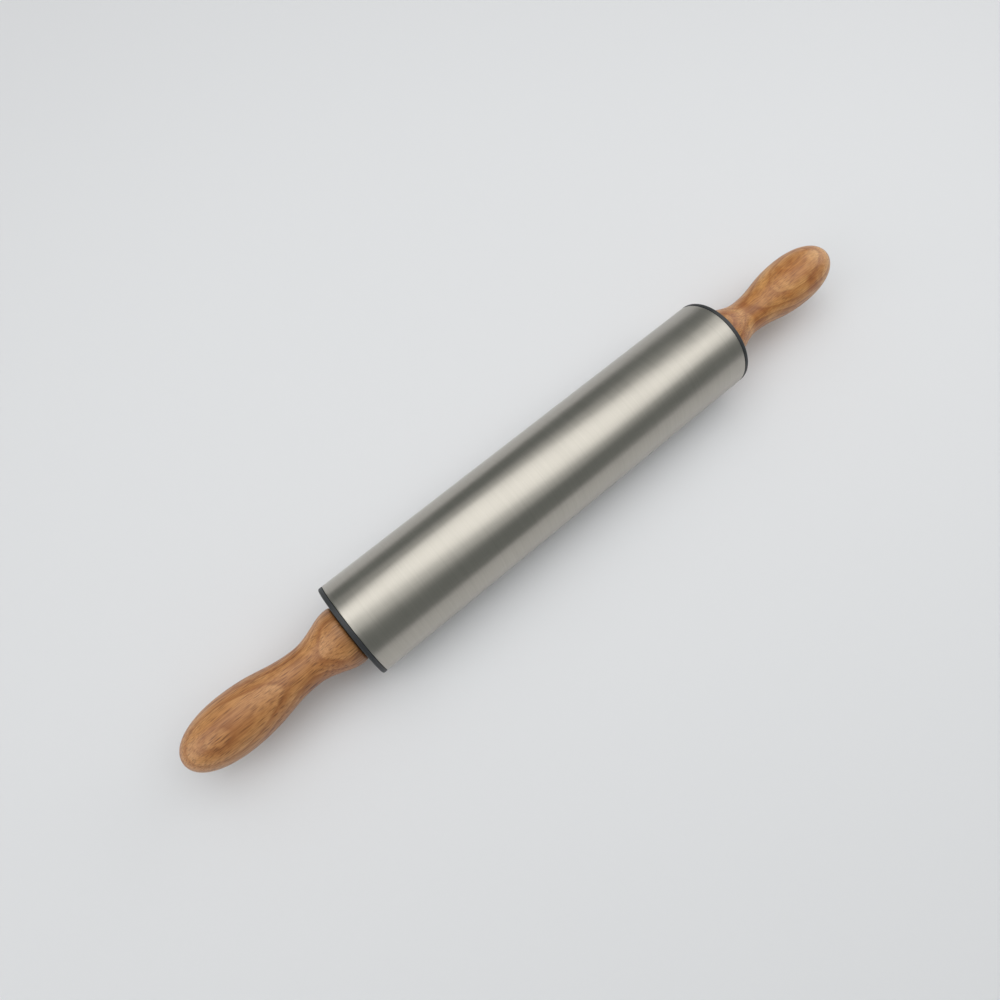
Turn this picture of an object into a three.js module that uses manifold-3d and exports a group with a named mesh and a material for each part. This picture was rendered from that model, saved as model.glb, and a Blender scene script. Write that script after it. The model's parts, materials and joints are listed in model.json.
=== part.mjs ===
// Rolling pin: a stainless steel barrel that turns on two ball bearings, with two wooden handles
// screwed to a through axle. Millimetres, +Z up. The axle lies along X, and the origin is the
// middle of the barrel, on its axis.

import * as THREE from "three";
import { mergeVertices } from "three/addons/utils/BufferGeometryUtils.js";
import Module from "manifold-3d";

const wasm = await Module();
wasm.setup();

// Barrel tube
const barrelDiameter = 50.8;
const barrelLength = 241.3;
const barrelWall = 1.2;
const barrelEdgeBreak = 0.3;

// End cap: a flange flush with the barrel, a plug inside the tube and a hub round the bearing
const capFlangeThickness = 2.4;
const capFlangeBreak = 0.6;
const capPlugDepth = 13;
const capPlugWall = 2.2;
const capPlugLead = 0.8;
const capHubWall = 2.4;
const capHubReach = 1.5;
const capRibCount = 6;
const capRibThickness = 1.8;

// Axle rod and the grip of its threaded ends in the handles
const axleDiameter = 8;
const axleGrip = 24;
const axleEndBreak = 1;

// Ball bearing
const bearingDiameter = 22;
const bearingWidth = 7;
const ballDiameter = 3.97;
const ballCount = 7;
const raceGap = 2.9;
const cageThickness = 1.6;
const cageMouth = 1.2;
const shieldThickness = 0.3;
const shieldRecess = 0.2;
const shieldSeatDepth = 0.6;

// Retaining clip in its groove on the axle
const clipThickness = 0.9;
const clipWidth = 1.4;
const clipGrooveDepth = 1;
const clipSnap = 1.2;
const clipRelief = 0.6;
const clipLugAngle = Math.PI / 6;

// Spacer bush between bearing and handle
const spacerWall = 1.6;

// Threaded insert in the handle
const insertWall = 2;
const insertLength = 17;
const insertFlangeWidth = 1.4;
const insertFlangeThickness = 1.2;

// Handle: distances run from its collar face to its tip
const handleLength = 91;
const handleGap = 1;
const collarDiameter = 31.2;
const collarFaceBreak = 1.2;
const collarBead = 3;
const waistDiameter = 20.4;
const waistDistance = 25;
const bulbDiameter = 29.4;
const bulbDistance = 63;
const collarSweep = 0.3;
const waistSweep = 0.4;
const bulbSweep = 0.5;
const tipFullness = 0.6;
const boreTipClearance = 1;

// Clearances: fixed fits, moving pieces that pass each other, and balls in races and pockets
const fitGap = 0.1;
const runningGap = 0.6;
const ballGap = 0.15;
const cageGap = 0.2;

// Facets of the large and the small round pieces; a flat lies straight below the axle
const largeFacets = 32;
const smallFacets = 24;
const ballFacets = 12;
const ballBands = 7;
const raceSteps = 4;
const clipSteps = 6;
const handleSteps = 6;

const barrelRadius = barrelDiameter / 2;
const boreRadius = barrelRadius - barrelWall;
const axleRadius = axleDiameter / 2;
const axleHoleRadius = axleRadius + fitGap;
const bearingRadius = bearingDiameter / 2;
const pitchRadius = (axleHoleRadius + bearingRadius) / 2;
const ballRadius = ballDiameter / 2;
const spacerRadius = axleHoleRadius + spacerWall;
const capHoleRadius = spacerRadius + runningGap;

// Each end is built with its outward direction along +X, from the plane of the barrel's end
const capInnerFace = fitGap;
const capOuterFace = capFlangeThickness;
const bearingOuterFace = capInnerFace - fitGap;
const bearingMiddle = bearingOuterFace - bearingWidth / 2;
const bearingInnerFace = bearingOuterFace - bearingWidth;
const collarFace = capOuterFace + handleGap;
const clipOuterFace = bearingInnerFace - fitGap;
const clipInnerFace = clipOuterFace - clipThickness;

const steel = { color: 0xb9b4a8, metalness: 1, roughness: 0.32 };
const brightSteel = { color: 0xc4c5c6, metalness: 1, roughness: 0.2 };
const blackPlastic = { color: 0x2b2d30, metalness: 0, roughness: 0.5 };
const nylon = { color: 0xded6c2, metalness: 0, roughness: 0.6 };
const beech = { color: 0xc9813a, metalness: 0, roughness: 0.35 };
const zinc = { color: 0x9c9a96, metalness: 1, roughness: 0.4 };

function named(name, geometry, look) {
  const mesh = new THREE.Mesh(geometry, new THREE.MeshStandardMaterial(look));
  mesh.name = name;
  return mesh;
}

// Revolves [distance along X, radius] points about X. The flats of the facets lie at the given
// radius, one of them straight below the axis
function turned(points, facets) {
  const acrossCorners = 1 / Math.cos(Math.PI / facets);
  const profile = points.map(([along, radius]) => new THREE.Vector2(radius * acrossCorners, along));
  if (THREE.ShapeUtils.area(profile) < 0) {
    profile.reverse();
  }
  if (profile[0].x > 0) {
    profile.push(profile[0].clone());
  }
  const geometry = new THREE.LatheGeometry(profile, facets, Math.PI / facets);
  return geometry.rotateZ(-Math.PI / 2);
}

function solidOf(geometry) {
  const bare = geometry.index ? geometry.clone() : geometry.toNonIndexed();
  bare.deleteAttribute("normal");
  bare.deleteAttribute("uv");
  const merged = mergeVertices(bare, 1e-4);
  const vertProperties = new Float32Array(merged.attributes.position.array);
  const kept = [];
  const index = merged.index.array;
  for (let i = 0; i < index.length; i += 3) {
    const [a, b, c] = [index[i], index[i + 1], index[i + 2]];
    if (a !== b && b !== c && c !== a) {
      kept.push(a, b, c);
    }
  }
  return new wasm.Manifold(new wasm.Mesh({ numProp: 3, vertProperties, triVerts: new Uint32Array(kept) }));
}

function geometryOf(solid) {
  const { vertProperties, triVerts } = solid.getMesh();
  const geometry = new THREE.BufferGeometry();
  geometry.setAttribute("position", new THREE.BufferAttribute(vertProperties, 3));
  geometry.setIndex(new THREE.BufferAttribute(triVerts, 1));
  geometry.computeVertexNormals();
  return geometry;
}

function curvePoints(curve, steps) {
  return curve.getPoints(steps).map((point) => [point.x, point.y]);
}

function barrelTube() {
  const half = barrelLength / 2;
  const outline = [
    [-half, boreRadius],
    [-half, barrelRadius - barrelEdgeBreak],
    [barrelEdgeBreak - half, barrelRadius],
    [half - barrelEdgeBreak, barrelRadius],
    [half, barrelRadius - barrelEdgeBreak],
    [half, boreRadius],
  ];
  return turned(outline, largeFacets);
}

// Plug and hub stand on the back of the flange, tied together by ribs
function endCap() {
  const plugRadius = boreRadius - fitGap;
  const plugBoreRadius = plugRadius - capPlugWall;
  const seatRadius = bearingRadius + fitGap;
  const hubRadius = seatRadius + capHubWall;
  const hubEnd = bearingInnerFace - capHubReach;
  const outline = [
    [capOuterFace, capHoleRadius],
    [capOuterFace, barrelRadius - capFlangeBreak],
    [capOuterFace - capFlangeBreak, barrelRadius],
    [capInnerFace, barrelRadius],
    [capInnerFace, plugRadius],
    [capPlugLead - capPlugDepth, plugRadius],
    [-capPlugDepth, plugRadius - capPlugLead],
    [-capPlugDepth, plugBoreRadius],
    [capInnerFace, plugBoreRadius],
    [capInnerFace, hubRadius],
    [hubEnd, hubRadius],
    [hubEnd, seatRadius],
    [capInnerFace, seatRadius],
    [capInnerFace, capHoleRadius],
  ];
  let solid = solidOf(turned(outline, largeFacets));
  const ribInner = (seatRadius + hubRadius) / 2;
  const ribOuter = (plugBoreRadius + plugRadius) / 2;
  const ribOutermost = (capInnerFace + capOuterFace) / 2;
  const ribInnermost = Math.max(hubEnd, capPlugLead - capPlugDepth);
  for (let i = 0; i < capRibCount; i += 1) {
    const rib = new THREE.BoxGeometry(ribOutermost - ribInnermost, capRibThickness, ribOuter - ribInner);
    rib.translate((ribOutermost + ribInnermost) / 2, 0, (ribOuter + ribInner) / 2);
    rib.rotateX((i * 2 * Math.PI) / capRibCount);
    solid = solid.add(solidOf(rib));
  }
  return geometryOf(solid);
}

// Half of the angle that a race takes up, where its groove runs out at the ring's shoulder
function raceArc(sign) {
  const grooveRadius = ballRadius + ballGap;
  const reach = Math.acos(raceGap / 2 / grooveRadius);
  const middle = (sign * Math.PI) / 2;
  const curve = new THREE.EllipseCurve(
    bearingMiddle, pitchRadius, grooveRadius, grooveRadius, middle - reach, middle + reach, false,
  );
  return curvePoints(curve, raceSteps);
}

function bearingOuterRing() {
  const shoulder = pitchRadius + raceGap / 2;
  const shieldSeat = shoulder + shieldSeatDepth;
  const step = shieldRecess + shieldThickness + fitGap;
  const outline = [
    [bearingInnerFace, bearingRadius],
    [bearingInnerFace, shieldSeat],
    [bearingInnerFace + step, shieldSeat],
    [bearingInnerFace + step, shoulder],
    ...raceArc(1).reverse(),
    [bearingOuterFace - step, shoulder],
    [bearingOuterFace - step, shieldSeat],
    [bearingOuterFace, shieldSeat],
    [bearingOuterFace, bearingRadius],
  ];
  return turned(outline, smallFacets);
}

function bearingInnerRing() {
  const shoulder = pitchRadius - raceGap / 2;
  const outline = [
    [bearingInnerFace, axleHoleRadius],
    [bearingInnerFace, shoulder],
    ...raceArc(-1),
    [bearingOuterFace, shoulder],
    [bearingOuterFace, axleHoleRadius],
  ];
  return turned(outline, smallFacets);
}

// Thin ring let into the outer ring, clear of the inner ring
function bearingShield(outerSide) {
  const inner = pitchRadius - raceGap / 2 + runningGap;
  const outer = pitchRadius + raceGap / 2 + shieldSeatDepth - fitGap;
  const inset = shieldRecess + shieldThickness / 2;
  const middle = outerSide ? bearingOuterFace - inset : bearingInnerFace + inset;
  const outline = [
    [middle - shieldThickness / 2, inner],
    [middle - shieldThickness / 2, outer],
    [middle + shieldThickness / 2, outer],
    [middle + shieldThickness / 2, inner],
  ];
  return turned(outline, smallFacets);
}

function aroundBearing(geometry, i) {
  return geometry.rotateX((i * 2 * Math.PI) / ballCount);
}

// Crown cage: a rim behind the balls, with fingers that reach past their middles
function bearingCage() {
  const pocketRadius = ballRadius + ballGap;
  const back = bearingInnerFace + shieldRecess + shieldThickness + cageGap;
  const front = bearingMiddle + cageMouth;
  const inner = pitchRadius - cageThickness / 2;
  const outer = pitchRadius + cageThickness / 2;
  const outline = [
    [back, inner],
    [back, outer],
    [front, outer],
    [front, inner],
  ];
  let solid = solidOf(turned(outline, smallFacets));
  for (let i = 0; i < ballCount; i += 1) {
    const pocket = new THREE.CylinderGeometry(pocketRadius, pocketRadius, raceGap, ballFacets);
    pocket.rotateX(Math.PI / 2);
    pocket.translate(bearingMiddle, 0, pitchRadius);
    solid = solid.subtract(solidOf(aroundBearing(pocket, i)));
  }
  return geometryOf(solid);
}

function bearingBall(i) {
  const ball = new THREE.SphereGeometry(ballRadius, ballFacets, ballBands);
  ball.translate(bearingMiddle, 0, pitchRadius);
  return aroundBearing(ball, i);
}

// Rod with a groove for each clip and a broken edge at each end
function axleRod() {
  const half = barrelLength / 2;
  const end = half + collarFace + axleGrip;
  const grooveRadius = axleRadius - clipGrooveDepth;
  const grooveOuter = half + clipOuterFace + fitGap;
  const grooveInner = half + clipInnerFace - fitGap;
  const rightSide = [
    [grooveInner, axleRadius],
    [grooveInner, grooveRadius],
    [grooveOuter, grooveRadius],
    [grooveOuter, axleRadius],
    [end - axleEndBreak, axleRadius],
    [end, axleRadius - axleEndBreak],
    [end, 0],
  ];
  const leftSide = rightSide.map(([along, radius]) => [-along, radius]).reverse();
  return turned([...leftSide, ...rightSide], smallFacets);
}

// Open ring that snaps into the groove from below and bears on it at three lugs
function retainingClip() {
  const lug = axleRadius - clipGrooveDepth + fitGap;
  const relief = axleRadius + clipRelief;
  const outer = relief + clipWidth;
  const mouth = lug - clipSnap / 2;
  const outerMouth = Math.asin(mouth / outer);
  const lugMouth = Math.asin(mouth / lug);
  const turn = 2 * Math.PI;
  const lugs = [
    [turn - lugMouth, turn - lugMouth - clipLugAngle],
    [Math.PI + clipLugAngle / 2, Math.PI - clipLugAngle / 2],
    [lugMouth + clipLugAngle, lugMouth],
  ];
  const shape = new THREE.Shape();
  shape.absarc(0, 0, outer, outerMouth, turn - outerMouth, false);
  lugs.forEach(([from, to], i) => {
    shape.absarc(0, 0, lug, from, to, true);
    if (i + 1 < lugs.length) {
      shape.absarc(0, 0, relief, to, lugs[i + 1][0], true);
    }
  });
  const geometry = new THREE.ExtrudeGeometry(shape, {
    depth: clipThickness, bevelEnabled: false, curveSegments: clipSteps,
  });
  geometry.rotateY(Math.PI / 2);
  return geometry.translate(clipInnerFace, 0, 0);
}

function spacerBush() {
  const outline = [
    [bearingOuterFace + fitGap, axleHoleRadius],
    [bearingOuterFace + fitGap, spacerRadius],
    [collarFace - fitGap, spacerRadius],
    [collarFace - fitGap, axleHoleRadius],
  ];
  return turned(outline, smallFacets);
}

function threadedInsert() {
  const body = axleHoleRadius + insertWall;
  const flange = body + insertFlangeWidth;
  const outline = [
    [collarFace, axleHoleRadius],
    [collarFace, flange],
    [collarFace + insertFlangeThickness, flange],
    [collarFace + insertFlangeThickness, body],
    [collarFace + insertLength, body],
    [collarFace + insertLength, axleHoleRadius],
  ];
  return turned(outline, smallFacets);
}

// Turned outline from collar over waist and bulb to the blind tip, with a stepped bore
function handle() {
  const tip = collarFace + handleLength;
  const collar = new THREE.Vector2(collarFace + collarBead, collarDiameter / 2);
  const waist = new THREE.Vector2(collarFace + waistDistance, waistDiameter / 2);
  const bulb = new THREE.Vector2(collarFace + bulbDistance, bulbDiameter / 2);
  const sweep = (from, to, leave, arrive) => new THREE.CubicBezierCurve(
    from,
    new THREE.Vector2(THREE.MathUtils.lerp(from.x, to.x, leave), from.y),
    new THREE.Vector2(THREE.MathUtils.lerp(to.x, from.x, arrive), to.y),
    to,
  );
  const dome = new THREE.CubicBezierCurve(
    bulb,
    new THREE.Vector2(THREE.MathUtils.lerp(bulb.x, tip, tipFullness), bulb.y),
    new THREE.Vector2(tip, bulb.y * tipFullness),
    new THREE.Vector2(tip, 0),
  );
  const boreEnd = collarFace + axleGrip + boreTipClearance;
  const boreRadiusWood = axleRadius + fitGap;
  const insertBody = axleHoleRadius + insertWall + fitGap;
  const insertFlange = insertBody + insertFlangeWidth;
  const outline = [
    [boreEnd, 0],
    [boreEnd, boreRadiusWood],
    [collarFace + insertLength + fitGap, boreRadiusWood],
    [collarFace + insertLength + fitGap, insertBody],
    [collarFace + insertFlangeThickness + fitGap, insertBody],
    [collarFace + insertFlangeThickness + fitGap, insertFlange],
    [collarFace, insertFlange],
    [collarFace, collar.y - collarFaceBreak],
    ...curvePoints(sweep(collar, waist, collarSweep, waistSweep), handleSteps),
    ...curvePoints(sweep(waist, bulb, waistSweep, bulbSweep), handleSteps).slice(1),
    ...curvePoints(dome, handleSteps).slice(1),
  ];
  return turned(outline, largeFacets);
}

function endPieces(side) {
  const end = new THREE.Group();
  end.add(named(`${side}_end_cap`, endCap(), blackPlastic));
  end.add(named(`${side}_bearing_outer_ring`, bearingOuterRing(), brightSteel));
  end.add(named(`${side}_bearing_inner_ring`, bearingInnerRing(), brightSteel));
  end.add(named(`${side}_bearing_outer_shield`, bearingShield(true), steel));
  end.add(named(`${side}_bearing_inner_shield`, bearingShield(false), steel));
  end.add(named(`${side}_bearing_cage`, bearingCage(), nylon));
  for (let i = 0; i < ballCount; i += 1) {
    end.add(named(`${side}_bearing_ball_${i + 1}`, bearingBall(i), brightSteel));
  }
  end.add(named(`${side}_retaining_clip`, retainingClip(), brightSteel));
  end.add(named(`${side}_spacer_bush`, spacerBush(), zinc));
  end.add(named(`${side}_threaded_insert`, threadedInsert(), zinc));
  end.add(named(`${side}_handle`, handle(), beech));
  return end;
}

const rollingPin = new THREE.Group();
rollingPin.add(named("barrel_tube", barrelTube(), steel));
rollingPin.add(named("axle_rod", axleRod(), zinc));

const rightEnd = endPieces("right");
rightEnd.position.x = barrelLength / 2;
rollingPin.add(rightEnd);

const leftEnd = endPieces("left");
leftEnd.position.x = -barrelLength / 2;
leftEnd.rotation.z = Math.PI;
rollingPin.add(leftEnd);

export default rollingPin;
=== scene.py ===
import json
import math
import bmesh
import bpy
from mathutils import Matrix, Vector
from mathutils.geometry import interpolate_bezier


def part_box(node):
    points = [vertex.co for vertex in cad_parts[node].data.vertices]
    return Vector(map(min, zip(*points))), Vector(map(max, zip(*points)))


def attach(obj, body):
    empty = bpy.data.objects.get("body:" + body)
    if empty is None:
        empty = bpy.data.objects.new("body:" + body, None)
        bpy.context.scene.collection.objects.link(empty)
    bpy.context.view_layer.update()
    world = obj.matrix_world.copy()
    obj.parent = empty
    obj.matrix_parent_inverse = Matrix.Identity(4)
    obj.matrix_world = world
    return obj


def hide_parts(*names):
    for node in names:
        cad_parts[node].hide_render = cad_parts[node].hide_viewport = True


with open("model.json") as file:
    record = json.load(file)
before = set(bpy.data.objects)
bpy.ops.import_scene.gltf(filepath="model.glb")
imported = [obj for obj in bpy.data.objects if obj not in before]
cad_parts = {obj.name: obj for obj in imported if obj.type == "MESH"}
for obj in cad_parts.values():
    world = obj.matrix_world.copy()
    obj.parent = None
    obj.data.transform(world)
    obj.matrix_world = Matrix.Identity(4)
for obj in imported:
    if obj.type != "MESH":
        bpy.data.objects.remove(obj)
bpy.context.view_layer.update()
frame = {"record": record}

mm = 0.001                # sizes below are in millimetres, Blender's are in metres
mergeWithin = 0.002       # points closer than this are one point
cornerSteps = 4           # segments of a rounded corner
creaseAngle = 32          # degrees, sharper edges stay crisp in the shading
fitGap = 0.1              # clearance between pieces that sit in or on one another

scene = bpy.context.scene
scene.view_settings.view_transform = "Standard"

bodies = frame["record"]["behaviour"]["bodies"]
bodyOf = {node: body for body, nodes in bodies.items() for node in nodes}

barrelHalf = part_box("barrel_tube")[1].x / mm
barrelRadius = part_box("barrel_tube")[1].z / mm
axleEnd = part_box("axle_rod")[1].x / mm - barrelHalf      # past the end of the steel
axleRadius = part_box("axle_rod")[1].z / mm
axleHole = axleRadius + fitGap                           # radius of each bore that the axle goes through

# Each end's pieces are made outwards along +X from the end of the steel, then moved to their own end
ends = {
    "left": Matrix.Translation((-barrelHalf * mm, 0, 0)) @ Matrix.Rotation(math.pi, 4, "Z"),
    "right": Matrix.Translation((barrelHalf * mm, 0, 0)),
}


def reach(node):
    # first and last distance from the end of the steel, and the radius, of a piece at the right end
    low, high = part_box("right_" + node)
    return low.x / mm - barrelHalf, high.x / mm - barrelHalf, high.z / mm


def linear(hexColour):
    # sRGB hex to the linear values that shaders work in
    parts = [int(hexColour[i:i + 2], 16) / 255 for i in (1, 3, 5)]
    return [c / 12.92 if c <= 0.04045 else ((c + 0.055) / 1.055) ** 2.4 for c in parts] + [1]


def addNode(tree, kind, inputs=None, stops=(), **settings):
    # inputs hold a value, a hex colour or another node's output for each socket, by its name or number:
    # a Mix node has numbers at 2 and 3, colours at 6 and 7, and gives its colour at output 2
    node = tree.nodes.new("ShaderNode" + kind)
    for name, value in settings.items():
        setattr(node, name, value)
    for socket, value in (inputs or {}).items():
        if isinstance(value, bpy.types.NodeSocket):
            tree.links.new(value, node.inputs[socket])
        else:
            node.inputs[socket].default_value = linear(value) if isinstance(value, str) else value
    for i, (place, colour) in enumerate(stops):
        ramp = node.color_ramp.elements
        stop = ramp[i] if i < 2 else ramp.new(place)     # a new ramp has two stops already
        stop.position = place
        stop.color = linear(colour)
    return node


def newMaterial(name):
    # has no shader yet, because each one is added last, with all that it links to
    material = bpy.data.materials.new(name)
    material.use_nodes = True
    tree = material.node_tree
    tree.nodes.remove(tree.nodes["Principled BSDF"])
    return material, tree


def setSurface(tree, shader):
    tree.links.new(shader.outputs[0], tree.nodes["Material Output"].inputs["Surface"])


def perMetre(*sizes):
    # a pattern's repeats per metre from its sizes in millimetres along X, Y and Z
    return [1 / (size * mm) for size in sizes]


# Materials, with pattern sizes in millimetres

def satinStainless():
    # 18/8 stainless tube, belt ground while it turns: a warm grey metal, soft in its reflections,
    # with fine hairlines round the barrel and a few faint handling marks
    look = {
        "tone": "#b9b4ab",
        "toneDeep": "#b0aba2",
        "hairline": 0.35,       # real lines are about 0.1 and too fine to show
        "grainLine": 1.1,       # broader lines among them
        "grainShare": 0.4,
        "lineRun": 45,          # length of one line round the barrel
        "smudge": 38,
        "roughness": (0.27, 0.32),
        "smudgeRoughness": 0.05,
    }
    material, tree = newMaterial("satinStainless")
    place = addNode(tree, "TexCoord").outputs["Object"]
    run = look["lineRun"]
    fineScale = perMetre(look["hairline"], run, run)
    fine = addNode(tree, "TexNoise", {
        "Vector": addNode(tree, "Mapping", {"Vector": place, "Scale": fineScale}).outputs[0],
        "Scale": 1, "Detail": 3, "Roughness": 0.7,
    }).outputs[0]
    coarseScale = perMetre(look["grainLine"], run, run)
    coarse = addNode(tree, "TexNoise", {
        "Vector": addNode(tree, "Mapping", {"Vector": place, "Scale": coarseScale}).outputs[0],
        "Scale": 1, "Detail": 2, "Roughness": 0.5,
    }).outputs[0]
    lines = addNode(tree, "Mix", {0: look["grainShare"], 2: fine, 3: coarse}).outputs[0]
    smudge = addNode(tree, "TexNoise", {
        "Vector": place, "Scale": perMetre(look["smudge"])[0], "Detail": 3, "Distortion": 0.6,
    }).outputs[0]
    tone = addNode(tree, "ValToRGB", {"Fac": lines}, [
        (0.3, look["toneDeep"]), (0.7, look["tone"]),
    ]).outputs[0]
    low, high = look["roughness"]
    fromLines = addNode(tree, "MapRange", {
        "Value": lines, "From Min": 0.3, "From Max": 0.7, "To Min": low, "To Max": high,
    }).outputs[0]
    fromSmudge = addNode(tree, "MapRange", {
        "Value": smudge, "From Min": 0.35, "From Max": 0.7, "To Min": 0, "To Max": look["smudgeRoughness"],
    }).outputs[0]
    rough = addNode(tree, "Math", {0: fromLines, 1: fromSmudge}, operation="ADD").outputs[0]
    bump = addNode(tree, "Bump", {"Height": lines, "Strength": 0.15, "Distance": 0.01 * mm}).outputs[0]
    # hairlines round the barrel blur a reflection along it more than across it
    setSurface(tree, addNode(tree, "BsdfPrincipled", {
        "Base Color": tone, "Roughness": rough, "Normal": bump, "Metallic": 1,
        "Tangent": addNode(tree, "Tangent", axis="X").outputs[0],
        "Anisotropic": 0.65, "Anisotropic Rotation": 0.25,
    }))
    return material


beechLook = {
    "fibreTone": "#cfc0b0",
    "dashTone": "#6c4020",
    "untinted": "#ffffff",      # leaves the rings as they are
    "ringWidth": 3.4,
    "ringWander": 28,           # size of the bends in the rings
    "wanderRings": 2.4,         # rings that the figure wanders by
    "fibre": (22, 0.6, 0.6),
    "fibreShare": 0.9,
    "dash": (8.5, 1.6, 0.8),    # cells along the grain, along the rays and across both
    "dashHeight": -0.5,         # as a share of the fibres' height
    "roughness": (0.38, 0.52),
}


def ringFigure(tree, place, moved, cut):
    # rings lie round a pith line that leans a little from the handle's axis
    fromPith = addNode(tree, "Mapping", {
        "Vector": place, "Location": [-p * mm for p in cut["pith"]],
        "Rotation": [math.radians(a) for a in cut["lean"]],
    }).outputs[0]
    across = addNode(tree, "VectorMath", {0: fromPith, 1: (0, 1, 1)}, operation="MULTIPLY").outputs[0]
    distance = addNode(tree, "VectorMath", {0: across}, operation="LENGTH").outputs["Value"]
    bend = beechLook["ringWander"]
    wanderScale = perMetre(2 * bend, bend, bend)
    wander = addNode(tree, "TexNoise", {
        "Vector": addNode(tree, "Mapping", {"Vector": moved, "Scale": wanderScale}).outputs[0],
        "Scale": 1, "Detail": 2,
    }).outputs[0]
    ringScale = perMetre(beechLook["ringWidth"])[0]
    rings = addNode(tree, "Math", {0: distance, 1: ringScale}, operation="MULTIPLY").outputs[0]
    wandered = addNode(tree, "Math", {
        0: wander, 1: beechLook["wanderRings"], 2: rings,
    }, operation="MULTIPLY_ADD").outputs[0]
    season = addNode(tree, "Math", {0: wandered}, operation="FRACT").outputs[0]
    return addNode(tree, "ValToRGB", {"Fac": season}, [
        (0, cut["early"]), (1, cut["early"]), (0.55, cut["middle"]), (0.86, cut["late"]),
    ]).outputs[0]


def rayDashes(tree, moved):
    # rays end on the surface as dashes: 1 in the middle of a dash, 0 between them
    rayWise = addNode(tree, "Mapping", {"Vector": moved, "Rotation": (math.pi / 2, 0, 0)}).outputs[0]
    dashScale = perMetre(*beechLook["dash"])
    cells = addNode(tree, "TexVoronoi", {
        "Vector": addNode(tree, "Mapping", {"Vector": rayWise, "Scale": dashScale}).outputs[0],
        "Scale": 1,
    }).outputs["Distance"]
    return addNode(tree, "MapRange", {
        "Value": cells, "From Min": 0.12, "From Max": 0.42, "To Min": 1, "To Max": 0,
    }).outputs[0]


def woodTone(tree, cut, rings, fibre, cloud, dash):
    # fibres and the stain's clouds tint the rings, and the dashes gather in the darker clouds
    fibreTone = addNode(tree, "ValToRGB", {"Fac": fibre}, [
        (0.32, beechLook["fibreTone"]), (0.6, beechLook["untinted"]),
    ]).outputs[0]
    cloudTone = addNode(tree, "ValToRGB", {"Fac": cloud}, [
        (0.36, cut["cloudTone"]), (0.62, beechLook["untinted"]),
    ]).outputs[0]
    most = cut["dashShare"]
    gather = addNode(tree, "MapRange", {
        "Value": cloud, "From Min": 0.35, "From Max": 0.6, "To Min": most, "To Max": most / 2,
    }).outputs[0]
    dashShare = addNode(tree, "Math", {0: dash, 1: gather}, operation="MULTIPLY").outputs[0]
    streaked = addNode(tree, "Mix", {
        0: beechLook["fibreShare"], 6: rings, 7: fibreTone,
    }, data_type="RGBA", blend_type="MULTIPLY").outputs[2]
    stained = addNode(tree, "Mix", {
        0: 1, 6: streaked, 7: cloudTone,
    }, data_type="RGBA", blend_type="MULTIPLY").outputs[2]
    return addNode(tree, "Mix", {
        0: dashShare, 6: stained, 7: beechLook["dashTone"],
    }, data_type="RGBA").outputs[2]


def lacqueredBeech(name, cut):
    # steamed beech, turned, stained and lacquered: orange tan with soft ring figure, long fibre streaks
    # and the short dark dashes of beech rays, under a satin film that gives soft highlights
    material, tree = newMaterial(name)
    place = addNode(tree, "TexCoord").outputs["Object"]
    shift = [s * mm for s in cut["shift"]]
    moved = addNode(tree, "Mapping", {"Vector": place, "Location": shift}).outputs[0]
    rings = ringFigure(tree, place, moved, cut)
    fibreScale = perMetre(*beechLook["fibre"])
    fibre = addNode(tree, "TexNoise", {
        "Vector": addNode(tree, "Mapping", {"Vector": moved, "Scale": fibreScale}).outputs[0],
        "Scale": 1, "Detail": 4, "Roughness": 0.6,
    }).outputs[0]
    cloud = addNode(tree, "TexNoise", {
        "Vector": moved, "Scale": perMetre(cut["cloud"])[0], "Detail": 3, "Distortion": 0.5,
    }).outputs[0]
    dash = rayDashes(tree, moved)
    wood = woodTone(tree, cut, rings, fibre, cloud, dash)
    low, high = beechLook["roughness"]
    rough = addNode(tree, "MapRange", {
        "Value": fibre, "From Min": 0.3, "From Max": 0.7, "To Min": high, "To Max": low,
    }).outputs[0]
    height = addNode(tree, "Math", {
        0: dash, 1: beechLook["dashHeight"], 2: fibre,
    }, operation="MULTIPLY_ADD").outputs[0]
    bump = addNode(tree, "Bump", {"Height": height, "Strength": 0.35, "Distance": 0.05 * mm}).outputs[0]
    setSurface(tree, addNode(tree, "BsdfPrincipled", {
        "Base Color": wood, "Roughness": rough, "Normal": bump, "IOR": 1.5,
        "Coat Weight": 0.22, "Coat Roughness": 0.2,
    }))
    return material


def mouldedBlack():
    # black ABS from a fine spark-eroded mould: dark grey, satin, with an even grit and faint flow marks
    look = {
        "tone": "#232527",
        "toneWorn": "#313335",
        "grit": 0.5,            # real grit is about 0.1 and too fine to show
        "flow": 14,
        "roughness": (0.45, 0.6),
    }
    material, tree = newMaterial("mouldedBlack")
    place = addNode(tree, "TexCoord").outputs["Object"]
    grit = addNode(tree, "TexNoise", {
        "Vector": place, "Scale": perMetre(look["grit"])[0], "Detail": 2,
    }).outputs[0]
    flow = addNode(tree, "TexNoise", {
        "Vector": place, "Scale": perMetre(look["flow"])[0], "Detail": 4, "Distortion": 0.8,
    }).outputs[0]
    tone = addNode(tree, "ValToRGB", {"Fac": flow}, [
        (0.35, look["tone"]), (0.75, look["toneWorn"]),
    ]).outputs[0]
    low, high = look["roughness"]
    rough = addNode(tree, "MapRange", {
        "Value": grit, "From Min": 0.3, "From Max": 0.7, "To Min": low, "To Max": high,
    }).outputs[0]
    bump = addNode(tree, "Bump", {"Height": grit, "Strength": 0.3, "Distance": 0.03 * mm}).outputs[0]
    setSurface(tree, addNode(tree, "BsdfPrincipled", {
        "Base Color": tone, "Roughness": rough, "Normal": bump, "IOR": 1.53,
    }))
    return material


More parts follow.
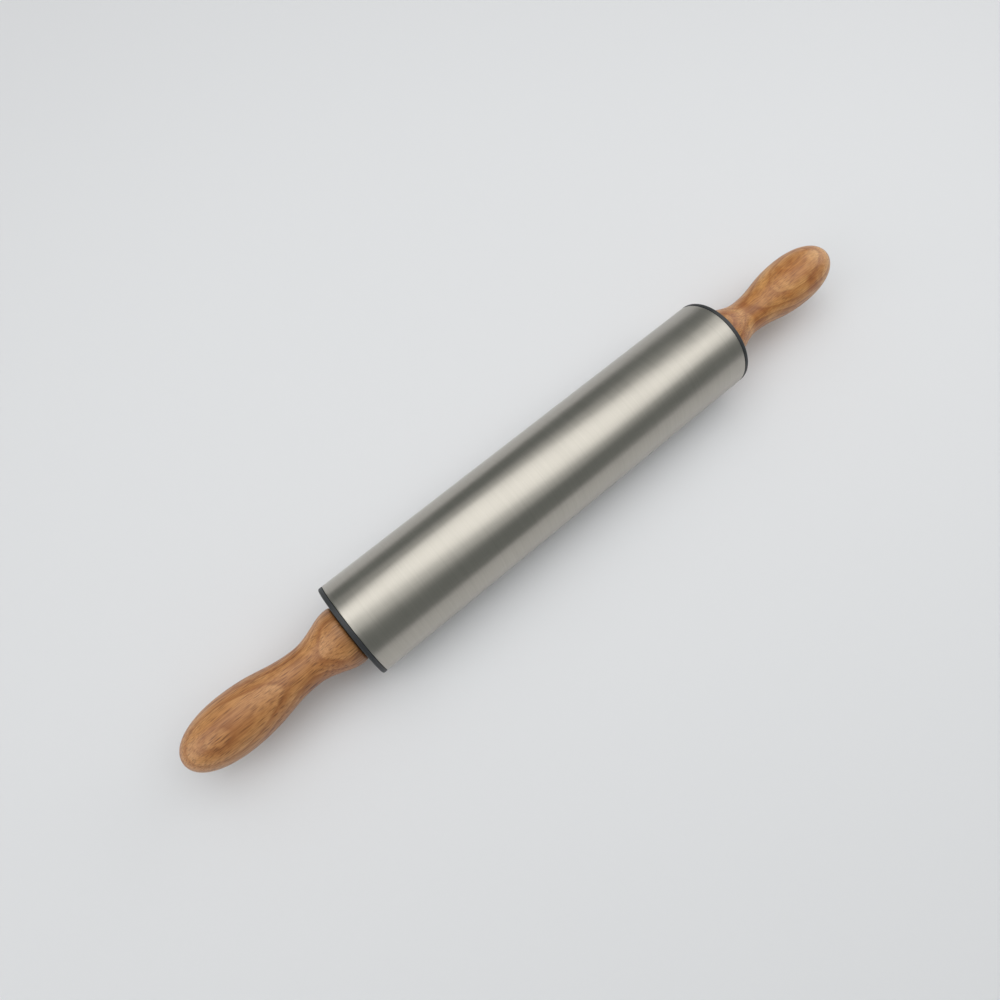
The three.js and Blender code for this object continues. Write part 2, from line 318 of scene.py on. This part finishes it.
def turnedMetal(name, look):
    # metal cut or ground in a lathe: faint rings round the axle and a slightly clouded tone
    material, tree = newMaterial(name)
    place = addNode(tree, "TexCoord").outputs["Object"]
    marksScale = perMetre(look["marks"], look["marksRun"], look["marksRun"])
    marks = addNode(tree, "TexNoise", {
        "Vector": addNode(tree, "Mapping", {"Vector": place, "Scale": marksScale}).outputs[0],
        "Scale": 1, "Detail": 3,
    }).outputs[0]
    cloud = addNode(tree, "TexNoise", {
        "Vector": place, "Scale": perMetre(look["cloud"])[0], "Detail": 3,
    }).outputs[0]
    tone = addNode(tree, "ValToRGB", {"Fac": cloud}, [
        (0.35, look["toneDeep"]), (0.7, look["tone"]),
    ]).outputs[0]
    low, high = look["roughness"]
    rough = addNode(tree, "MapRange", {
        "Value": marks, "From Min": 0.3, "From Max": 0.7, "To Min": low, "To Max": high,
    }).outputs[0]
    bump = addNode(tree, "Bump", {"Height": marks, "Strength": 0.2, "Distance": 0.01 * mm}).outputs[0]
    setSurface(tree, addNode(tree, "BsdfPrincipled", {
        "Base Color": tone, "Roughness": rough, "Normal": bump, "Metallic": 1,
    }))
    return material


def mouldedNylon():
    # natural nylon, moulded: ivory, a little cloudy, waxy in its gloss
    look = {"tone": "#ded4bd", "toneDeep": "#cfc3a8", "cloud": 3, "roughness": (0.42, 0.55)}
    material, tree = newMaterial("mouldedNylon")
    place = addNode(tree, "TexCoord").outputs["Object"]
    cloud = addNode(tree, "TexNoise", {
        "Vector": place, "Scale": perMetre(look["cloud"])[0], "Detail": 3,
    }).outputs[0]
    tone = addNode(tree, "ValToRGB", {"Fac": cloud}, [
        (0.35, look["toneDeep"]), (0.7, look["tone"]),
    ]).outputs[0]
    low, high = look["roughness"]
    rough = addNode(tree, "MapRange", {
        "Value": cloud, "From Min": 0.3, "From Max": 0.7, "To Min": low, "To Max": high,
    }).outputs[0]
    setSurface(tree, addNode(tree, "BsdfPrincipled", {"Base Color": tone, "Roughness": rough, "IOR": 1.53}))
    return material


steel = satinStainless()
beech = {
    "left": lacqueredBeech("lacqueredBeechLeft", {
        "early": "#cc955d", "middle": "#c38a51", "late": "#b07540",
        "pith": (0, 9, -46), "lean": (0, 2.5, 1.5), "shift": (0, 0, 0),
        "dashShare": 1.1, "cloud": 18, "cloudTone": "#e2d1bf",
    }),
    "right": lacqueredBeech("lacqueredBeechRight", {
        "early": "#d9a362", "middle": "#cf9554", "late": "#b97d42",
        "pith": (0, -8, -38), "lean": (0, -3, -2), "shift": (19, 7, 3),
        "dashShare": 0.45, "cloud": 12, "cloudTone": "#d9bfa2",
    }),
}
blackPlastic = mouldedBlack()
bearingSteel = turnedMetal("groundBearingSteel", {
    "tone": "#cfd0d1", "toneDeep": "#c2c3c4", "roughness": (0.12, 0.22),
    "marks": 0.3, "marksRun": 12, "cloud": 6,
})
platedSteel = turnedMetal("brightZincPlate", {
    "tone": "#c2c3c1", "toneDeep": "#aeb0b0", "roughness": (0.24, 0.36),
    "marks": 0.4, "marksRun": 12, "cloud": 5,
})
springSteel = turnedMetal("phosphatedSpringSteel", {
    "tone": "#6d6d70", "toneDeep": "#55565a", "roughness": (0.4, 0.55),
    "marks": 0.5, "marksRun": 12, "cloud": 2,
})
nylon = mouldedNylon()
print("materials:", len(bpy.data.materials))


# Modelling helpers

def turned(outline, steps):
    # a closed outline of distance along X, radius and, where a corner is rounded, the rounding
    bm = bmesh.new()
    corners = []
    rounded = {}
    for along, radius, *rounding in outline:
        corner = bm.verts.new((along * mm, 0, radius * mm))
        corners.append(corner)
        for size in rounding:
            rounded.setdefault(size, []).append(corner)
    bm.faces.new(corners)
    for size, group in rounded.items():
        bmesh.ops.bevel(
            bm, geom=group, offset=size * mm, offset_type="OFFSET", segments=cornerSteps, profile=0.5,
            affect="VERTICES", material=-1,
        )
    bmesh.ops.delete(bm, geom=bm.faces[:], context="FACES_ONLY")
    onAxis = [edge for edge in bm.edges if max(vert.co.z for vert in edge.verts) < mergeWithin * mm]
    bmesh.ops.delete(bm, geom=onAxis, context="EDGES")
    bmesh.ops.spin(
        bm, geom=bm.verts[:] + bm.edges[:], cent=(0, 0, 0), axis=(1, 0, 0), angle=2 * math.pi,
        steps=steps, use_merge=True,
    )
    return bm


def combined(bm, tool, operation):
    # joins or cuts two closed shapes
    holders = []
    for shape in (bm, tool):
        bmesh.ops.remove_doubles(shape, verts=shape.verts, dist=mergeWithin * mm)
        bmesh.ops.recalc_face_normals(shape, faces=shape.faces)
        mesh = bpy.data.meshes.new("work")
        shape.to_mesh(mesh)
        shape.free()
        holder = bpy.data.objects.new("work", mesh)
        scene.collection.objects.link(holder)
        holders.append(holder)
    boolean = holders[0].modifiers.new("combine", "BOOLEAN")
    boolean.operation = operation
    boolean.solver = "EXACT"
    boolean.object = holders[1]
    result = bmesh.new()
    result.from_mesh(holders[0].evaluated_get(bpy.context.evaluated_depsgraph_get()).to_mesh())
    for holder in holders:
        bpy.data.objects.remove(holder)
    return result


def threadRings(thread, start, stop, radius):
    # the rings of points between two places that a thread is cut from
    count = round((stop - start) / thread["pitch"] * thread["ringsPerPitch"])
    return [(start + (stop - start) * i / count, radius) for i in range(1, count)]


def cutThread(bm, toEnd, thread):
    # draws the points at the thread's crest inwards along a helix that fades out at both ends
    for vert in bm.verts:
        point = toEnd @ vert.co / mm
        radius = math.hypot(point.y, point.z)
        inside = min(point.x - thread["start"], thread["stop"] - point.x)
        if inside <= 0 or abs(radius - thread["crest"]) > mergeWithin:
            continue
        turns = point.x / thread["pitch"] - math.atan2(point.z, point.y) / (2 * math.pi)
        valley = 1 - abs(turns % 1 * 2 - 1)
        cut = thread["depth"] * valley * min(1, inside / thread["pitch"])
        shrink = 1 - cut / radius
        vert.co.y *= shrink
        vert.co.z *= shrink


def makePiece(bm, node, material, place=Matrix()):
    # stands for the CAD node of that name, which it hides, and rides on that node's body
    bmesh.ops.remove_doubles(bm, verts=bm.verts, dist=mergeWithin * mm)
    bmesh.ops.recalc_face_normals(bm, faces=bm.faces)
    bmesh.ops.transform(bm, matrix=place, verts=bm.verts)
    first, *others = node.split("_")
    mesh = bpy.data.meshes.new(first + "".join(word.capitalize() for word in others))
    bm.to_mesh(mesh)
    bm.free()
    mesh.shade_smooth()
    mesh.set_sharp_from_angle(angle=math.radians(creaseAngle))
    mesh.materials.append(material)
    piece = bpy.data.objects.new(mesh.name, mesh)
    scene.collection.objects.link(piece)
    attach(piece, bodyOf[node])
    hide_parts(node)


# Barrel

barrel = {
    "wall": 1.2,
    "rim": 0.45,            # rounding of the outer edge at each end
    "boreRim": 0.3,
    "steps": 192,
}


def makeBarrel():
    bore = barrelRadius - barrel["wall"]
    outline = [
        (-barrelHalf, bore, barrel["boreRim"]),
        (-barrelHalf, barrelRadius, barrel["rim"]),
        (barrelHalf, barrelRadius, barrel["rim"]),
        (barrelHalf, bore, barrel["boreRim"]),
    ]
    makePiece(turned(outline, barrel["steps"]), "barrel_tube", steel)


# Ball bearings

bearing = {
    "balls": 7,
    "ball": 3.97,           # diameter
    "ballGap": 0.15,
    "raceGap": 2.9,         # between the shoulders of the two rings
    "ringEdge": 0.3,
    "groove": 0.6,          # depth of the shield's seat in the outer ring
    "grooveWidth": 0.6,
    "shieldClearance": 0.6,
    "shieldStep": 0.1,
    "shieldBend": 0.3,      # width of the step
    "cageWall": 1.6,
    "cageBack": 0.7,        # rim's distance from the inner face
    "cageMouth": 1.2,       # reach of the fingers past the balls' middles
    "cageEdge": 0.15,
    "raceSteps": 10,
    "steps": 72,
    "ballSteps": 32,
}
bearingStart, bearingStop, bearingRadius = reach("bearing_outer_ring")
bearingMiddle = (bearingStart + bearingStop) / 2
pitchRadius = (axleHole + bearingRadius) / 2
outerShoulder = pitchRadius + bearing["raceGap"] / 2
innerShoulder = pitchRadius - bearing["raceGap"] / 2


def raceArc(outwards):
    # the groove that the balls run in, from the inner face's side to the outer one's
    radius = bearing["ball"] / 2 + bearing["ballGap"]
    half = math.acos(bearing["raceGap"] / 2 / radius)
    steps = bearing["raceSteps"]
    angles = [half * (2 * i / steps - 1) for i in range(steps + 1)]
    return [
        (bearingMiddle + radius * math.sin(a), pitchRadius + outwards * radius * math.cos(a))
        for a in angles
    ]


def makeRings(side):
    edge = bearing["ringEdge"]
    seat = outerShoulder + bearing["groove"]
    first = bearingStart + bearing["grooveWidth"]
    last = bearingStop - bearing["grooveWidth"]
    outerRing = [
        (bearingStart, bearingRadius, edge), (bearingStart, seat), (first, seat), (first, outerShoulder),
        *raceArc(1),
        (last, outerShoulder), (last, seat), (bearingStop, seat), (bearingStop, bearingRadius, edge),
    ]
    makePiece(turned(outerRing, bearing["steps"]), side + "_bearing_outer_ring", bearingSteel, ends[side])
    innerRing = [
        (bearingStart, axleHole, edge), (bearingStart, innerShoulder, edge / 2),
        *raceArc(-1),
        (bearingStop, innerShoulder, edge / 2), (bearingStop, axleHole, edge),
    ]
    makePiece(turned(innerRing, bearing["steps"]), side + "_bearing_inner_ring", bearingSteel, ends[side])


def makeShields(side):
    # pressed rings, stepped once between their seat and their free edge
    for name, inwards in (("outer", -1), ("inner", 1)):
        face, back, rim = reach(f"bearing_{name}_shield")
        near, far = (back, face) if inwards < 0 else (face, back)
        step = inwards * bearing["shieldStep"]
        free = innerShoulder + bearing["shieldClearance"]
        bend = (free + rim) / 2
        bendEnd = bend + bearing["shieldBend"]
        outline = [
            (near, rim), (near, bendEnd), (near + step, bend), (near + step, free),
            (far + step, free), (far + step, bend), (far, bendEnd), (far, rim),
        ]
        bm = turned(outline, bearing["steps"])
        makePiece(bm, f"{side}_bearing_{name}_shield", bearingSteel, ends[side])


def aroundBearing(i):
    # where the middle of a ball lies
    turn = Matrix.Rotation(i * 2 * math.pi / bearing["balls"], 4, "X")
    return turn @ Matrix.Translation((bearingMiddle * mm, 0, pitchRadius * mm))


def makeBalls(side):
    for i in range(bearing["balls"]):
        bm = bmesh.new()
        bmesh.ops.create_uvsphere(
            bm, u_segments=bearing["ballSteps"], v_segments=bearing["ballSteps"] // 2,
            radius=bearing["ball"] / 2 * mm, matrix=aroundBearing(i),
        )
        makePiece(bm, f"{side}_bearing_ball_{i + 1}", bearingSteel, ends[side])


def makeCage(side):
    # a crown: a rim behind the balls, with fingers that reach past their middles
    inner = pitchRadius - bearing["cageWall"] / 2
    outer = pitchRadius + bearing["cageWall"] / 2
    back = bearingStart + bearing["cageBack"]
    front = bearingMiddle + bearing["cageMouth"]
    edge = bearing["cageEdge"]
    outline = [(back, inner, edge), (back, outer, edge), (front, outer, edge), (front, inner, edge)]
    pocket = (bearing["ball"] / 2 + bearing["ballGap"]) * mm
    pockets = bmesh.new()
    for i in range(bearing["balls"]):
        bmesh.ops.create_cone(
            pockets, cap_ends=True, segments=bearing["ballSteps"], radius1=pocket, radius2=pocket,
            depth=bearing["raceGap"] * mm, matrix=aroundBearing(i),
        )
    bm = combined(turned(outline, bearing["steps"]), pockets, "DIFFERENCE")
    makePiece(bm, side + "_bearing_cage", nylon, ends[side])


# End caps

endCap = {
    "flangeRim": 0.8,
    "flangeBack": 0.25,
    "holeGap": 0.6,         # round the spacer, which the cap turns about
    "holeRim": 0.4,
    "plugWall": 2.2,
    "plugLead": 0.8,
    "hubWall": 2.4,
    "hubReach": 1.5,        # past the bearing
    "edge": 0.3,
    "ribs": 6,
    "ribThickness": 1.8,
    "ribBite": 0.5,         # how far the ribs reach into the flange
    "steps": 144,
}


def makeEndCap(side):
    plugEnd, outerFace, flangeRadius = reach("end_cap")
    inner = fitGap          # the flange stops this far from the end of the steel
    edge = endCap["edge"]
    hole = reach("spacer_bush")[2] + endCap["holeGap"]
    plug = barrelRadius - barrel["wall"] - fitGap
    plugBore = plug - endCap["plugWall"]
    seat = bearingRadius + fitGap
    hub = seat + endCap["hubWall"]
    hubEnd = bearingStart - endCap["hubReach"]
    outline = [
        (outerFace, hole, endCap["holeRim"]),
        (outerFace, flangeRadius, endCap["flangeRim"]),
        (inner, flangeRadius, endCap["flangeBack"]),
        (inner, plug),
        (plugEnd, plug, endCap["plugLead"]),
        (plugEnd, plugBore, edge),
        (inner, plugBore, edge),
        (inner, hub, edge),
        (hubEnd, hub, edge),
        (hubEnd, seat, edge),
        (inner, seat),
        (inner, hole),
    ]
    bm = turned(outline, endCap["steps"])

    # ribs tie the hub to the plug
    ribInner = (seat + hub) / 2
    ribOuter = (plugBore + plug) / 2
    size = Vector((inner - hubEnd, endCap["ribThickness"], ribOuter - ribInner)) * mm
    middle = Vector(((inner + hubEnd) / 2 + endCap["ribBite"], 0, (ribInner + ribOuter) / 2)) * mm
    ribs = bmesh.new()
    for i in range(endCap["ribs"]):
        turn = Matrix.Rotation(i * 2 * math.pi / endCap["ribs"], 4, "X")
        placed = turn @ Matrix.Translation(middle) @ Matrix.Diagonal(size).to_4x4()
        bmesh.ops.create_cube(ribs, size=1, matrix=placed)
    makePiece(combined(bm, ribs, "UNION"), side + "_end_cap", blackPlastic, ends[side])


# Axle

axle = {
    "clipGroove": 1,        # depth
    "endBreak": 1,
    "steps": 48,
}
axleThread = {"pitch": 1.25, "depth": 0.62, "ringsPerPitch": 8}


def makeAxle():
    end = barrelHalf + axleEnd
    clipStart, clipStop, _ = reach("retaining_clip")
    grooveStart = barrelHalf + clipStart - fitGap
    grooveStop = barrelHalf + clipStop + fitGap
    groove = axleRadius - axle["clipGroove"]
    thread = dict(axleThread, crest=axleRadius, start=reach("threaded_insert")[0], stop=axleEnd)
    threadStart = barrelHalf + thread["start"]
    threadStop = end - axle["endBreak"]
    rightHalf = [
        (grooveStart, axleRadius), (grooveStart, groove), (grooveStop, groove), (grooveStop, axleRadius),
        (threadStart, axleRadius), *threadRings(thread, threadStart, threadStop, axleRadius),
        (threadStop, axleRadius), (end, axleRadius - axle["endBreak"]), (end, 0),
    ]
    leftHalf = [(-along, radius) for along, radius in reversed(rightHalf)]
    bm = turned(leftHalf + rightHalf, axle["steps"])
    for side in ends:
        cutThread(bm, ends[side].inverted(), thread)
    makePiece(bm, "axle_rod", platedSteel)


# Retaining clips

clip = {
    "lug": 3.1,             # radius at the lugs
    "relief": 4.6,          # radius between them
    "mouth": 2.5,           # half its width
    "lugAngle": 30,
    "edge": 0.12,
    "edgeSteps": 2,
    "degreesPerStep": 5,
}


def makeClip(side):
    # an open ring of sheet that bears on the groove at three lugs, open downwards
    start, stop, outer = reach("retaining_clip")
    lug = clip["lug"]
    relief = clip["relief"]
    outerMouth = math.asin(clip["mouth"] / outer)
    lugMouth = math.asin(clip["mouth"] / lug)
    lugAngle = math.radians(clip["lugAngle"])
    turn = 2 * math.pi
    arcs = [
        (outer, outerMouth, turn - outerMouth),
        (lug, turn - lugMouth, turn - lugMouth - lugAngle),
        (relief, turn - lugMouth - lugAngle, math.pi + lugAngle / 2),
        (lug, math.pi + lugAngle / 2, math.pi - lugAngle / 2),
        (relief, math.pi - lugAngle / 2, lugMouth + lugAngle),
        (lug, lugMouth + lugAngle, lugMouth),
    ]
    bm = bmesh.new()
    loop = []
    for radius, begin, finish in arcs:
        first = bm.verts.new((start * mm, radius * math.sin(begin) * mm, -radius * math.cos(begin) * mm))
        steps = math.ceil(math.degrees(abs(finish - begin)) / clip["degreesPerStep"])
        spun = bmesh.ops.spin(
            bm, geom=[first], cent=(0, 0, 0), axis=(1, 0, 0), angle=finish - begin, steps=steps,
        )
        last = next(item for item in spun["geom_last"] if isinstance(item, bmesh.types.BMVert))
        loop.append((first, last))
    for (_, last), (first, _) in zip(loop, loop[1:] + loop[:1]):
        bm.edges.new((last, first))
    bmesh.ops.edgeloop_fill(bm, edges=bm.edges)
    raised = bmesh.ops.extrude_face_region(bm, geom=bm.faces[:])["geom"]
    top = [item for item in raised if isinstance(item, bmesh.types.BMVert)]
    bmesh.ops.translate(bm, verts=top, vec=((stop - start) * mm, 0, 0))
    flat = [edge for edge in bm.edges if abs(edge.verts[0].co.x - edge.verts[1].co.x) < mergeWithin * mm]
    bmesh.ops.bevel(
        bm, geom=flat, offset=clip["edge"] * mm, offset_type="OFFSET", segments=clip["edgeSteps"],
        profile=0.5, affect="EDGES", material=-1, clamp_overlap=True,
    )
    makePiece(bm, side + "_retaining_clip", springSteel, ends[side])


# Spacer bushes

spacer = {"edge": 0.35, "steps": 64}


def makeSpacer(side):
    start, stop, radius = reach("spacer_bush")
    edge = spacer["edge"]
    outline = [
        (start, axleHole, edge), (start, radius, edge), (stop, radius, edge), (stop, axleHole, edge),
    ]
    makePiece(turned(outline, spacer["steps"]), side + "_spacer_bush", platedSteel, ends[side])


# Threaded inserts

insert = {
    "wall": 2,
    "flangeThickness": 1.2,
    "edge": 0.3,
    "steps": 48,
}
woodThread = {"pitch": 3, "depth": 0.8, "ringsPerPitch": 12}


def makeInsert(side):
    start, stop, flange = reach("threaded_insert")
    body = axleHole + insert["wall"]
    shoulder = start + insert["flangeThickness"]
    inside = dict(axleThread, crest=axleHole, start=start, stop=axleEnd)
    outside = dict(woodThread, crest=body, start=shoulder, stop=stop)
    outline = [
        (start, axleHole), (start, flange, insert["edge"]), (shoulder, flange, insert["edge"]),
        (shoulder, body), *threadRings(outside, shoulder, stop, body),
        (stop, body), (stop, axleHole),
        *reversed(threadRings(inside, start, stop, axleHole)),
    ]
    bm = turned(outline, insert["steps"])
    for thread in (inside, outside):
        cutThread(bm, Matrix(), thread)
    makePiece(bm, side + "_threaded_insert", platedSteel, ends[side])


# Handles

handle = {
    "faceBreak": 1.2,       # the collar's face is this much smaller than its bead
    "bead": 3,              # widest place of the collar, from its face
    "waist": 20.4,          # diameter
    "waistAt": 25,
    "bulb": 29.4,           # diameter
    "bulbAt": 63,
    "collarSweep": 0.3,     # how far each stretch leaves and meets its ends level, as a share of it
    "waistSweep": 0.4,
    "bulbSweep": 0.5,
    "tipFullness": 0.6,
    "boreTip": 1,           # room past the end of the axle
    "faceEdge": 0.4,
    "curveSteps": 26,
    "steps": 128,
}


def sweep(first, leave, arrive, last):
    # points of one curve, without its first
    controls = [Vector((along, radius, 0)) for along, radius in (first, leave, arrive, last)]
    return [(point.x, point.y) for point in interpolate_bezier(*controls, handle["curveSteps"])][1:]


def handleSurface(face, tip, collar):
    # over the collar's bead, the waist and the bulb to the tip
    bead = face + handle["bead"]
    waistAt = face + handle["waistAt"]
    bulbAt = face + handle["bulbAt"]
    waist = handle["waist"] / 2
    bulb = handle["bulb"] / 2
    toWaist = waistAt - bead
    toBulb = bulbAt - waistAt
    full = handle["tipFullness"]
    return [
        *sweep(
            (face, collar - handle["faceBreak"]), (face, collar),
            (bead - handle["bead"] / 2, collar), (bead, collar),
        ),
        *sweep(
            (bead, collar), (bead + toWaist * handle["collarSweep"], collar),
            (waistAt - toWaist * handle["waistSweep"], waist), (waistAt, waist),
        ),
        *sweep(
            (waistAt, waist), (waistAt + toBulb * handle["waistSweep"], waist),
            (bulbAt - toBulb * handle["bulbSweep"], bulb), (bulbAt, bulb),
        ),
        *sweep((bulbAt, bulb), (bulbAt + (tip - bulbAt) * full, bulb), (tip, bulb * full), (tip, 0)),
    ]


def makeHandle(side):
    face, tip, collar = reach("handle")
    insertStart, insertStop, flange = reach("threaded_insert")
    body = axleHole + insert["wall"] + fitGap
    seat = insertStart + insert["flangeThickness"] + fitGap
    bodyEnd = insertStop + fitGap
    boreEnd = axleEnd + handle["boreTip"]
    outline = [
        (boreEnd, 0), (boreEnd, axleHole), (bodyEnd, axleHole), (bodyEnd, body),
        (seat, body), (seat, flange + fitGap), (face, flange + fitGap, handle["faceEdge"]),
        (face, collar - handle["faceBreak"]), *handleSurface(face, tip, collar),
    ]
    makePiece(turned(outline, handle["steps"]), side + "_handle", beech[side], ends[side])


makeBarrel()
print("barrel made")
makeAxle()
print("axle made")
for side in ends:
    makeEndCap(side)
    makeRings(side)
    makeShields(side)
    makeBalls(side)
    makeCage(side)
    makeClip(side)
    makeSpacer(side)
    makeInsert(side)
    makeHandle(side)
    print(side, "end made")


# Studio, in metres: a pale floor, a dim room that only reflections and light see, and five softboxes

studio = {
    "pale": "#e2e2e4",      # floor, which comes out a little darker under the softboxes
    "floorRoughness": 0.6,
    "backdrop": "#d0d1d3",
    "floorFrom": 0.2,       # where the lit floor starts to fade into the backdrop
    "floorTo": 1.0,
    "radius": 7,
    "floorSteps": 96,
    "roomSteps": 48,
    "roomTone": "#8c9190",
    "roomLevel": 0.8,
}
softboxes = {
    "overhead": {"size": (2.2, 1.12), "place": (0.23, 0.33, 1.2), "radiance": 1.54},
    "overheadEdge": {"size": (1.7, 0.7), "place": (-0.75, 1.24, 1.2), "radiance": 0.4},
    "overheadFade": {"size": (2.2, 0.5), "place": (0.5, -0.48, 1.2), "radiance": 0.5},
    "leftSide": {"size": (1.6, 1.6), "place": (-1.5, 0.2, 1.0), "radiance": 1.45},
    "rightSide": {"size": (1.5, 1.0), "place": (1.75, 0.1, 0.62), "radiance": 1.4},
}
overheadTurn = -36          # degrees, across the barrel, so its bright band drifts from end to end


def addStage(bm, name, material):
    mesh = bpy.data.meshes.new(name)
    bm.to_mesh(mesh)
    bm.free()
    mesh.materials.append(material)
    stage = bpy.data.objects.new(name, mesh)
    scene.collection.objects.link(stage)
    return stage


def makeFloor():
    bm = bmesh.new()
    bmesh.ops.create_circle(
        bm, cap_ends=True, segments=studio["floorSteps"], radius=studio["radius"],
        matrix=Matrix.Translation((0, 0, -barrelRadius * mm)),
    )
    material, tree = newMaterial("paleFloor")
    place = addNode(tree, "TexCoord").outputs["Object"]
    distance = addNode(tree, "VectorMath", {0: place}, operation="LENGTH").outputs["Value"]
    fade = addNode(tree, "MapRange", {
        "Value": distance, "From Min": studio["floorFrom"], "From Max": studio["floorTo"],
    }, interpolation_type="SMOOTHSTEP").outputs[0]
    lit = addNode(tree, "BsdfPrincipled", {
        "Base Color": studio["pale"], "Roughness": studio["floorRoughness"],
    }).outputs[0]
    backdrop = addNode(tree, "Emission", {"Color": studio["backdrop"], "Strength": 1}).outputs[0]
    setSurface(tree, addNode(tree, "MixShader", {0: fade, 1: lit, 2: backdrop}))
    addStage(bm, "floor", material)


def makeRoom():
    bm = bmesh.new()
    bmesh.ops.create_uvsphere(
        bm, u_segments=studio["roomSteps"], v_segments=studio["roomSteps"] // 2, radius=studio["radius"],
    )
    bmesh.ops.bisect_plane(
        bm, geom=bm.verts[:] + bm.edges[:] + bm.faces[:], plane_co=(0, 0, -barrelRadius * mm),
        plane_no=(0, 0, 1), clear_inner=True,
    )
    material, tree = newMaterial("dimRoom")
    setSurface(tree, addNode(tree, "Emission", {
        "Color": studio["roomTone"], "Strength": studio["roomLevel"],
    }))
    addStage(bm, "room", material).visible_camera = False


def makeSoftbox(name, box):
    light = bpy.data.lights.new(name, "AREA")
    light.shape = "RECTANGLE"
    light.size, light.size_y = box["size"]
    light.energy = box["radiance"] * math.pi * light.size * light.size_y
    lamp = bpy.data.objects.new(name, light)
    lamp.location = box["place"]
    if name.startswith("overhead"):     # these look straight down
        turn = Matrix.Rotation(math.radians(overheadTurn), 4, "Z")
        lamp.location = turn @ lamp.location
        lamp.rotation_euler = turn.to_euler()
    else:                               # and these at the middle of the pin
        lamp.rotation_euler = (-lamp.location).to_track_quat("-Z", "Y").to_euler()
    lamp.visible_camera = False
    scene.collection.objects.link(lamp)


def makeWorld():
    world = bpy.data.worlds.new("backdrop")
    world.use_nodes = True
    world.node_tree.nodes["Background"].inputs["Color"].default_value = linear(studio["backdrop"])
    scene.world = world


makeFloor()
makeRoom()
for name, box in softboxes.items():
    makeSoftbox(name, box)
makeWorld()
print("studio lit")


# Camera, at the photograph's viewing angle: almost above the pin, close, with a wide lens

viewpoint = {
    "azimuth": -40.06,      # degrees, 0 looks along +Y
    "elevation": 70.35,
    "distance": 356.5,
    "target": (-25.7, 5.1, 0),
    "lens": 25.2,
    "sensor": 36,
    "clipStart": 10,
}


def makeCamera():
    around = math.radians(viewpoint["azimuth"])
    above = math.radians(viewpoint["elevation"])
    back = Vector((
        math.sin(around) * math.cos(above), -math.cos(around) * math.cos(above), math.sin(above),
    ))
    data = bpy.data.cameras.new("camera")
    data.lens = viewpoint["lens"]
    data.sensor_width = viewpoint["sensor"]
    data.clip_start = viewpoint["clipStart"] * mm
    camera = bpy.data.objects.new("camera", data)
    camera.location = (Vector(viewpoint["target"]) + back * viewpoint["distance"]) * mm
    camera.rotation_euler = (-back).to_track_quat("-Z", "Y").to_euler()
    scene.collection.objects.link(camera)
    scene.camera = camera


makeCamera()
print("camera set")
